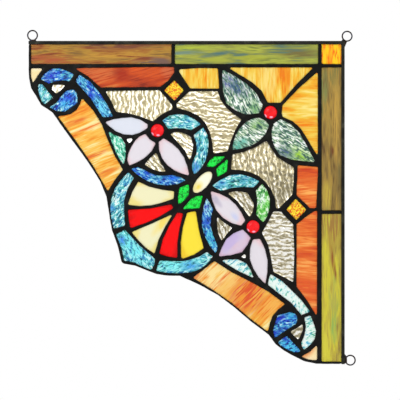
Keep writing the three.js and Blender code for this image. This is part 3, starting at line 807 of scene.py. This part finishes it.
class SeamSizes(bpy.types.PropertyGroup):
    """Sizes of the soldered seams and the edge channel"""

    depth: length_setting(
        "Depth", "From the front of the seams to their back", LATTICE_BACK - LATTICE_FRONT
    )
    grid: length_setting("Mesh grid", "Spacing of the points on the solder", 0.00082)
    kept: bpy.props.FloatProperty(
        name="Kept", description="Share of the solder's faces that is kept", default=0.54, subtype="FACTOR"
    )
    softening: bpy.props.IntProperty(
        name="Softening", description="How often the beads' edges are smoothed", default=3
    )
    lumps: length_setting("Lumps", "Height of the uneven flow of the solder", 0.00045)
    channel_edge: length_setting("Channel edge", "Rounding of the channel's edges", 0.00035)


class RingSizes(bpy.types.PropertyGroup):
    """Sizes of the hanging rings"""

    outside: length_setting("Outside", "Outside diameter of a ring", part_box("corner_ring")[1][0] * 2)
    wire: length_setting("Wire", "Diameter of the wire", 0.0017)
    solder: length_setting("Solder", "Thickness of the solder at a foot", 0.0042)
    grid: length_setting("Mesh grid", "Spacing of the points on a ring", 0.00028)


def colour_setting(name, description, shade):
    """A setting for a displayed colour, whose default is given as 0 to 255."""
    return bpy.props.FloatVectorProperty(
        name=name, description=description, default=[value / 255 for value in shade], size=3,
        min=0.0, max=1.0, subtype="COLOR_GAMMA",
    )


class PanelColours(bpy.types.PropertyGroup):
    """Colours of the smooth glass, the jewels and the metal"""

    petal: colour_setting("Petal", "Middle of the palest petal", (220, 224, 236))
    petal_lavender: colour_setting("Lavender petal", "Middle of the lavender petal", (212, 200, 224))
    petal_rose: colour_setting("Rose petal", "Middle of the petals with a rosy rim", (226, 220, 228))
    fan_cream: colour_setting("Cream blade", "Middle of the fan's cream blades", (240, 236, 194))
    tip_cream: colour_setting("Cream tip", "Middle of the cream tips of the free edge", (255, 240, 205))
    fan_yellow: colour_setting("Yellow blade", "Middle of the fan's yellow blade", (250, 226, 62))
    fan_red: colour_setting("Red blade", "Middle of the fan's red blades", (252, 0, 4))
    opal: colour_setting("Oval", "Middle of the oval over the fan", (255, 252, 226))
    jewel: colour_setting("Jewel", "The flowers' round jewels", (250, 0, 14))
    solder: colour_setting("Solder", "Darkened solder of the seams", (12, 12, 11))
    channel: colour_setting("Channel", "Metal of the edge channel", (32, 32, 26))


class StageSizes(bpy.types.PropertyGroup):
    """Floor, light and camera"""

    floor_drop: length_setting("Floor drop", "Distance from the corner ring down to the floor", 0.62)
    floor_colour: bpy.props.FloatVectorProperty(
        name="Floor colour", description="Colour of the pale floor", default=(0.86, 0.86, 0.84), size=3,
        subtype="COLOR",
    )
    daylight: bpy.props.FloatProperty(
        name="Daylight", description="Strength of the even white light all round", default=1.0
    )
    lens: bpy.props.FloatProperty(
        name="Lens", description="Focal length of the camera", default=120.0, unit="CAMERA"
    )


class PANEL_OT_panes(bpy.types.Operator):
    """Makes every pane that the CAD model has, rolled and coloured"""

    bl_idname = "corner_panel.panes"
    bl_label = "Panes"

    def execute(self, context):
        sizes = context.scene.pane_sizes
        for node, (kind, turn) in PANES.items():
            pane = merged_copy(node, node + "_glass")
            modify(pane, "REMESH", mode="VOXEL", voxel_size=sizes.grid)
            length, width, height = RELIEF.get(kind, SMOOTH_RELIEF)
            emboss(pane, length, width, height * sizes.relief, turn)
            smooth_over(pane)
            pane.data.materials.append(glass_material(node, kind, turn))
            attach(pane, "root")
            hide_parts(node)
        return {"FINISHED"}


class PANEL_OT_small_panes(bpy.types.Operator):
    """Makes the smallest panes from the openings that the lattice has for them"""

    bl_idname = "corner_panel.small_panes"
    bl_label = "Small panes"

    def execute(self, context):
        sizes = context.scene.pane_sizes
        for name, (kind, turn, square) in SMALL_PANES.items():
            sheet = front_sheet(name)
            keep_opening(sheet, on_panel(square))
            thickness = CHIP_THICKNESS if name in CHIPS else SMALL_THICKNESS
            modify(sheet, "SOLIDIFY", thickness=thickness, offset=0.0)
            modify(sheet, "REMESH", mode="VOXEL", voxel_size=sizes.small_grid)
            modify(sheet, "DISPLACE", strength=SMALL_SWELL, mid_level=0.0)
            if name not in CHIPS:
                length, width, height = RELIEF.get(kind, SMOOTH_RELIEF)
                emboss(sheet, length, width, height * sizes.relief * SMALL_RELIEF, turn)
            smooth_over(sheet)
            sheet.data.materials.append(glass_material(name, kind, turn))
            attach(sheet, "root")
        return {"FINISHED"}


class PANEL_OT_jewels(bpy.types.Operator):
    """Makes the three domed round jewels"""

    bl_idname = "corner_panel.jewels"
    bl_label = "Jewels"

    def execute(self, context):
        material = jewel_material()
        for node in JEWELS:
            low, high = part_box(node)
            radius = (high[0] - low[0]) / 2
            centre = ((low[0] + high[0]) / 2, 0.0, (low[2] + high[2]) / 2)
            bpy.ops.object.select_all(action="DESELECT")
            bpy.ops.mesh.primitive_uv_sphere_add(
                segments=64, ring_count=32, radius=radius, location=centre, rotation=(math.pi / 2, 0, 0)
            )
            jewel = bpy.context.object
            jewel.name = node + "_glass"
            bpy.ops.object.transform_apply()
            flatten_jewel(jewel, low[1], high[1])
            smooth_over(jewel)
            jewel.data.materials.append(material)
            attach(jewel, "root")
            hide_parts(node)
        return {"FINISHED"}


def flatten_jewel(jewel, front, back):
    """Presses the front half of a ball down to a jewel's dome, and its back half to its flatter back."""
    radius = max(vertex.co.y for vertex in jewel.data.vertices)
    select_only(jewel)
    start_edit("DESELECT")
    end_edit()
    for vertex in jewel.data.vertices:
        vertex.select = vertex.co.y < DOME_EDGE
    bpy.ops.object.mode_set(mode="EDIT")
    for depth in (-front, back):
        bpy.ops.transform.resize(
            value=(1, depth / radius, 1), center_override=(0, 0, 0), orient_type="GLOBAL"
        )
        bpy.ops.mesh.select_all(action="INVERT")
    end_edit()


def front_sheet(name):
    """The front faces of the seam lattice as a sheet of their own."""
    sheet = merged_copy("seam_lattice", name)
    start_edit("DESELECT", kind="FACE")
    end_edit()
    for face in sheet.data.polygons:
        face.select = face.normal.y > FACES_FRONT or face.center.y > LATTICE_FRONT + SAME_PLANE
    bpy.ops.object.mode_set(mode="EDIT")
    bpy.ops.mesh.delete(type="FACE")
    end_edit()
    return sheet


def rims(mesh):
    """The closed rims of a sheet, each a list of its vertices in order."""
    count = {}
    for face in mesh.polygons:
        for key in face.edge_keys:
            count[key] = count.get(key, 0) + 1
    ways = {}
    for (a, b), times in count.items():
        if times == 1:
            ways.setdefault(a, []).append(b)
            ways.setdefault(b, []).append(a)
    loops = []
    unused = set(ways)
    while unused:
        start = unused.pop()
        loop = [start]
        here = start
        while True:
            onward = [n for n in ways[here] if n in unused]
            if not onward:
                break
            here = onward[0]
            unused.discard(here)
            loop.append(here)
        loops.append(loop)
    return loops


def encloses(points, place):
    inside = False
    for a, b in zip(points, points[1:] + points[:1]):
        if (a.z > place.z) != (b.z > place.z):
            if place.x < a.x + (place.z - a.z) * (b.x - a.x) / (b.z - a.z):
                inside = not inside
    return inside


def keep_opening(sheet, place):
    """Turns a sheet into one flat face that fills its smallest opening round a place."""
    mesh = sheet.data
    found = []
    for loop in rims(mesh):
        points = [mesh.vertices[i].co for i in loop]
        if encloses(points, place):
            width = max(p.x for p in points) - min(p.x for p in points)
            found.append((width, loop))
    if not found:
        raise RuntimeError("no opening round " + str(place))
    rim = set(min(found)[1])
    select_only(sheet)
    start_edit("SELECT")
    bpy.ops.mesh.delete(type="ONLY_FACE")
    bpy.ops.mesh.select_all(action="DESELECT")
    end_edit()
    for vertex in mesh.vertices:
        vertex.select = vertex.index not in rim
    bpy.ops.object.mode_set(mode="EDIT")
    bpy.ops.mesh.delete(type="VERT")
    bpy.ops.mesh.select_all(action="SELECT")
    bpy.ops.mesh.edge_face_add()
    bpy.ops.mesh.quads_convert_to_tris()
    bpy.ops.transform.translate(value=(0, -LATTICE_FRONT, 0))
    end_edit()


class PANEL_OT_seams(bpy.types.Operator):
    """Makes the seam lattice as rounded, slightly lumpy beads of solder"""

    bl_idname = "corner_panel.seams"
    bl_label = "Soldered seams"

    def execute(self, context):
        sizes = context.scene.seam_sizes
        seams = front_sheet("soldered_seams")
        modify(seams, "SOLIDIFY", thickness=sizes.depth - sizes.lumps, offset=-1.0)
        start_edit("SELECT")
        bpy.ops.transform.translate(value=(0, sizes.lumps / 2, 0))
        end_edit()
        modify(seams, "REMESH", mode="VOXEL", voxel_size=sizes.grid)
        modify(seams, "SMOOTH", factor=SOFTLY, iterations=sizes.softening)
        emboss(seams, SOLDER_FLOW, SOLDER_FLOW, sizes.lumps)
        modify(seams, "DECIMATE", ratio=sizes.kept)
        smooth_over(seams)
        seams.data.materials.append(solder_material())
        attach(seams, "root")
        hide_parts("seam_lattice")
        return {"FINISHED"}


class PANEL_OT_channel(bpy.types.Operator):
    """Rounds the edges of the channel along the two straight sides"""

    bl_idname = "corner_panel.channel"
    bl_label = "Edge channel"

    def execute(self, context):
        sizes = context.scene.seam_sizes
        channel = merged_copy("edge_came", "edge_channel")
        modify(
            channel, "BEVEL", width=sizes.channel_edge, segments=3, limit_method="ANGLE",
            angle_limit=math.radians(50), use_clamp_overlap=True,
        )
        select_only(channel)
        bpy.ops.object.shade_smooth_by_angle(angle=math.radians(40))
        channel.data.materials.append(channel_material())
        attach(channel, "root")
        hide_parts("edge_came")
        return {"FINISHED"}


# Solder at a ring's foot, drawn tight round these drops: the paper's square, half size in millimetres
RING_SOLDER = {
    "corner_ring": (
        ((343.2, 39.7), 1.0), ((346.2, 41.6), 1.0), ((344.3, 47), 0.6), ((341.2, 42.4), 1.1),
    ),
    "top_end_ring": (
        ((30.2, 40.3), 0.8), ((35.0, 40.1), 0.8), ((29.9, 42.6), 1.1), ((37.4, 42.7), 0.7),
    ),
    "bottom_end_ring": (
        ((346.3, 356.9), 0.8), ((346.4, 362.4), 0.8), ((343.6, 353.6), 0.7), ((342.4, 363.2), 1.1),
    ),
}


class PANEL_OT_rings(bpy.types.Operator):
    """Makes the three wire rings, each run into its solder"""

    bl_idname = "corner_panel.rings"
    bl_label = "Hanging rings"

    def execute(self, context):
        sizes = context.scene.ring_sizes
        material = wire_material()
        reach = sizes.outside / 2
        top_low, top_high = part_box("top_end_ring")
        bottom_low, bottom_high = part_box("bottom_end_ring")
        centres = {
            "corner_ring": (0.0, 0.0, 0.0),
            "top_end_ring": ((top_low[0] + top_high[0]) / 2, 0.0, top_high[2] - reach),
            "bottom_end_ring": (bottom_high[0] - reach, 0.0, (bottom_low[2] + bottom_high[2]) / 2),
        }
        for node, centre in centres.items():
            bpy.ops.object.select_all(action="DESELECT")
            bpy.ops.mesh.primitive_torus_add(
                major_segments=56,
                minor_segments=16,
                major_radius=reach - sizes.wire / 2,
                minor_radius=sizes.wire / 2,
                location=centre,
                rotation=(math.pi / 2, 0, 0),
            )
            ring = bpy.context.object
            lumps = []
            for square, size in RING_SOLDER[node]:
                place = on_panel(square)
                bpy.ops.mesh.primitive_uv_sphere_add(segments=24, ring_count=12, location=place)
                lump = bpy.context.object
                lump.scale = (size / 1000, sizes.solder / 2, size / 1000)
                lumps.append(lump)
            solder = join_up(lumps)
            start_edit("SELECT")
            bpy.ops.mesh.convex_hull()
            end_edit()
            ring = join_up([ring, solder])
            ring.name = node + "_wire"
            bpy.ops.object.transform_apply()
            modify(ring, "REMESH", mode="VOXEL", voxel_size=sizes.grid)
            modify(ring, "SMOOTH", factor=SOFTLY, iterations=RING_SOFTENING)
            smooth_over(ring)
            ring.data.materials.append(material)
            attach(ring, "root")
            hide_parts(node)
        return {"FINISHED"}


# How much lighter the floor's light patches are, of 255
FLOOR_LIFT = 6
FLOOR_RADIUS = 1.05
# Width of the camera's film, in millimetres, and the nearest thing that it sees, in metres
FILM = 36
NEAREST = 0.01
# Soft lights: name, place, size in metres, power in watts
LIGHTS = (
    ("key", (-1.1, -1.5, 0.7), 1.0, 7.0),
    ("fill", (0.9, -1.2, 0.2), 1.2, 2.0),
    ("back", (-0.3, 1.3, 0.5), 1.4, 9.0),
    ("glint", (-0.7, -1.2, -0.75), 0.12, 1.6),
)


def floor_material(colour):
    recipe = Recipe("pale floor", roughness=0.8)
    cloud = recipe.cloud(recipe.stretch(turn=0, length=0.4, width=0.4), detail=2.0)
    shade = tuple(round(255 * channel) for channel in colour)
    lighter = tuple(min(255, value + FLOOR_LIFT) for value in shade)
    return recipe.finish(recipe.shades(cloud, ((0.3, shade), (0.7, lighter))))


class PANEL_OT_stage(bpy.types.Operator):
    """Sets the floor, the even white light and the camera"""

    bl_idname = "corner_panel.stage"
    bl_label = "Stage"

    def execute(self, context):
        sizes = context.scene.stage_sizes
        low, high = CAD_BOX
        middle = (low + high) / 2
        bpy.ops.object.select_all(action="DESELECT")
        bpy.ops.mesh.primitive_circle_add(
            vertices=96, radius=FLOOR_RADIUS, fill_type="NGON", location=(middle.x, 0, -sizes.floor_drop)
        )
        floor = bpy.context.object
        floor.name = "floor"
        bpy.ops.object.transform_apply()
        floor.data.materials.append(floor_material(sizes.floor_colour))
        world = bpy.data.worlds.new("white daylight")
        world.use_nodes = True
        world.node_tree.nodes["Background"].inputs["Color"].default_value = (1, 1, 1, 1)
        world.node_tree.nodes["Background"].inputs["Strength"].default_value = sizes.daylight
        context.scene.world = world
        aim = on_panel(PAPER_MIDDLE)
        for name, place, size, power in LIGHTS:
            add_light(name, Vector(place), aim, size, power)
        half = PAPER_SQUARE * PAPER_MIDDLE[0]
        distance = half * sizes.lens / (FILM / 2)
        bpy.ops.object.camera_add(location=(aim.x, -distance, aim.z), rotation=(math.pi / 2, 0, 0))
        camera = bpy.context.object
        camera.data.lens = sizes.lens
        camera.data.sensor_width = FILM
        camera.data.clip_start = NEAREST
        context.scene.camera = camera
        context.scene.view_settings.view_transform = "Standard"
        return {"FINISHED"}


def add_light(name, place, aim, size, power):
    """A square soft light that shines on a point."""
    bpy.ops.object.light_add(type="AREA", location=place)
    light = bpy.context.object
    light.name = name
    light.data.size = size
    light.data.energy = power
    light.rotation_euler = (aim - place).to_track_quat("-Z", "Y").to_euler()


class PANEL_PT_corner_panel(bpy.types.Panel):
    """Lists the sizes and the steps of the corner panel"""

    bl_idname = "PANEL_PT_corner_panel"
    bl_label = "Corner Panel"
    bl_space_type = "VIEW_3D"
    bl_region_type = "UI"
    bl_category = "Corner Panel"

    def draw(self, context):
        for group in SIZES:
            box = self.layout.box()
            settings = getattr(context.scene, group)
            for key in SIZES[group].__annotations__:
                box.prop(settings, key)
        for step in STEPS:
            self.layout.operator(step.bl_idname)


SIZES = {
    "pane_sizes": PaneSizes,
    "seam_sizes": SeamSizes,
    "ring_sizes": RingSizes,
    "panel_colours": PanelColours,
    "stage_sizes": StageSizes,
}
STEPS = (
    PANEL_OT_panes,
    PANEL_OT_small_panes,
    PANEL_OT_jewels,
    PANEL_OT_seams,
    PANEL_OT_channel,
    PANEL_OT_rings,
    PANEL_OT_stage,
)


def register():
    for cls in (*SIZES.values(), *STEPS, PANEL_PT_corner_panel):
        bpy.utils.register_class(cls)
    for group, cls in SIZES.items():
        setattr(bpy.types.Scene, group, bpy.props.PointerProperty(type=cls))


def unregister():
    for group in SIZES:
        delattr(bpy.types.Scene, group)
    for cls in (PANEL_PT_corner_panel, *reversed(STEPS), *SIZES.values()):
        bpy.utils.unregister_class(cls)


def main():
    register()
    bpy.ops.corner_panel.panes()
    bpy.ops.corner_panel.small_panes()
    bpy.ops.corner_panel.jewels()
    bpy.ops.corner_panel.seams()
    bpy.ops.corner_panel.channel()
    bpy.ops.corner_panel.rings()
    bpy.ops.corner_panel.stage()


if __name__ == "__main__":
    main()
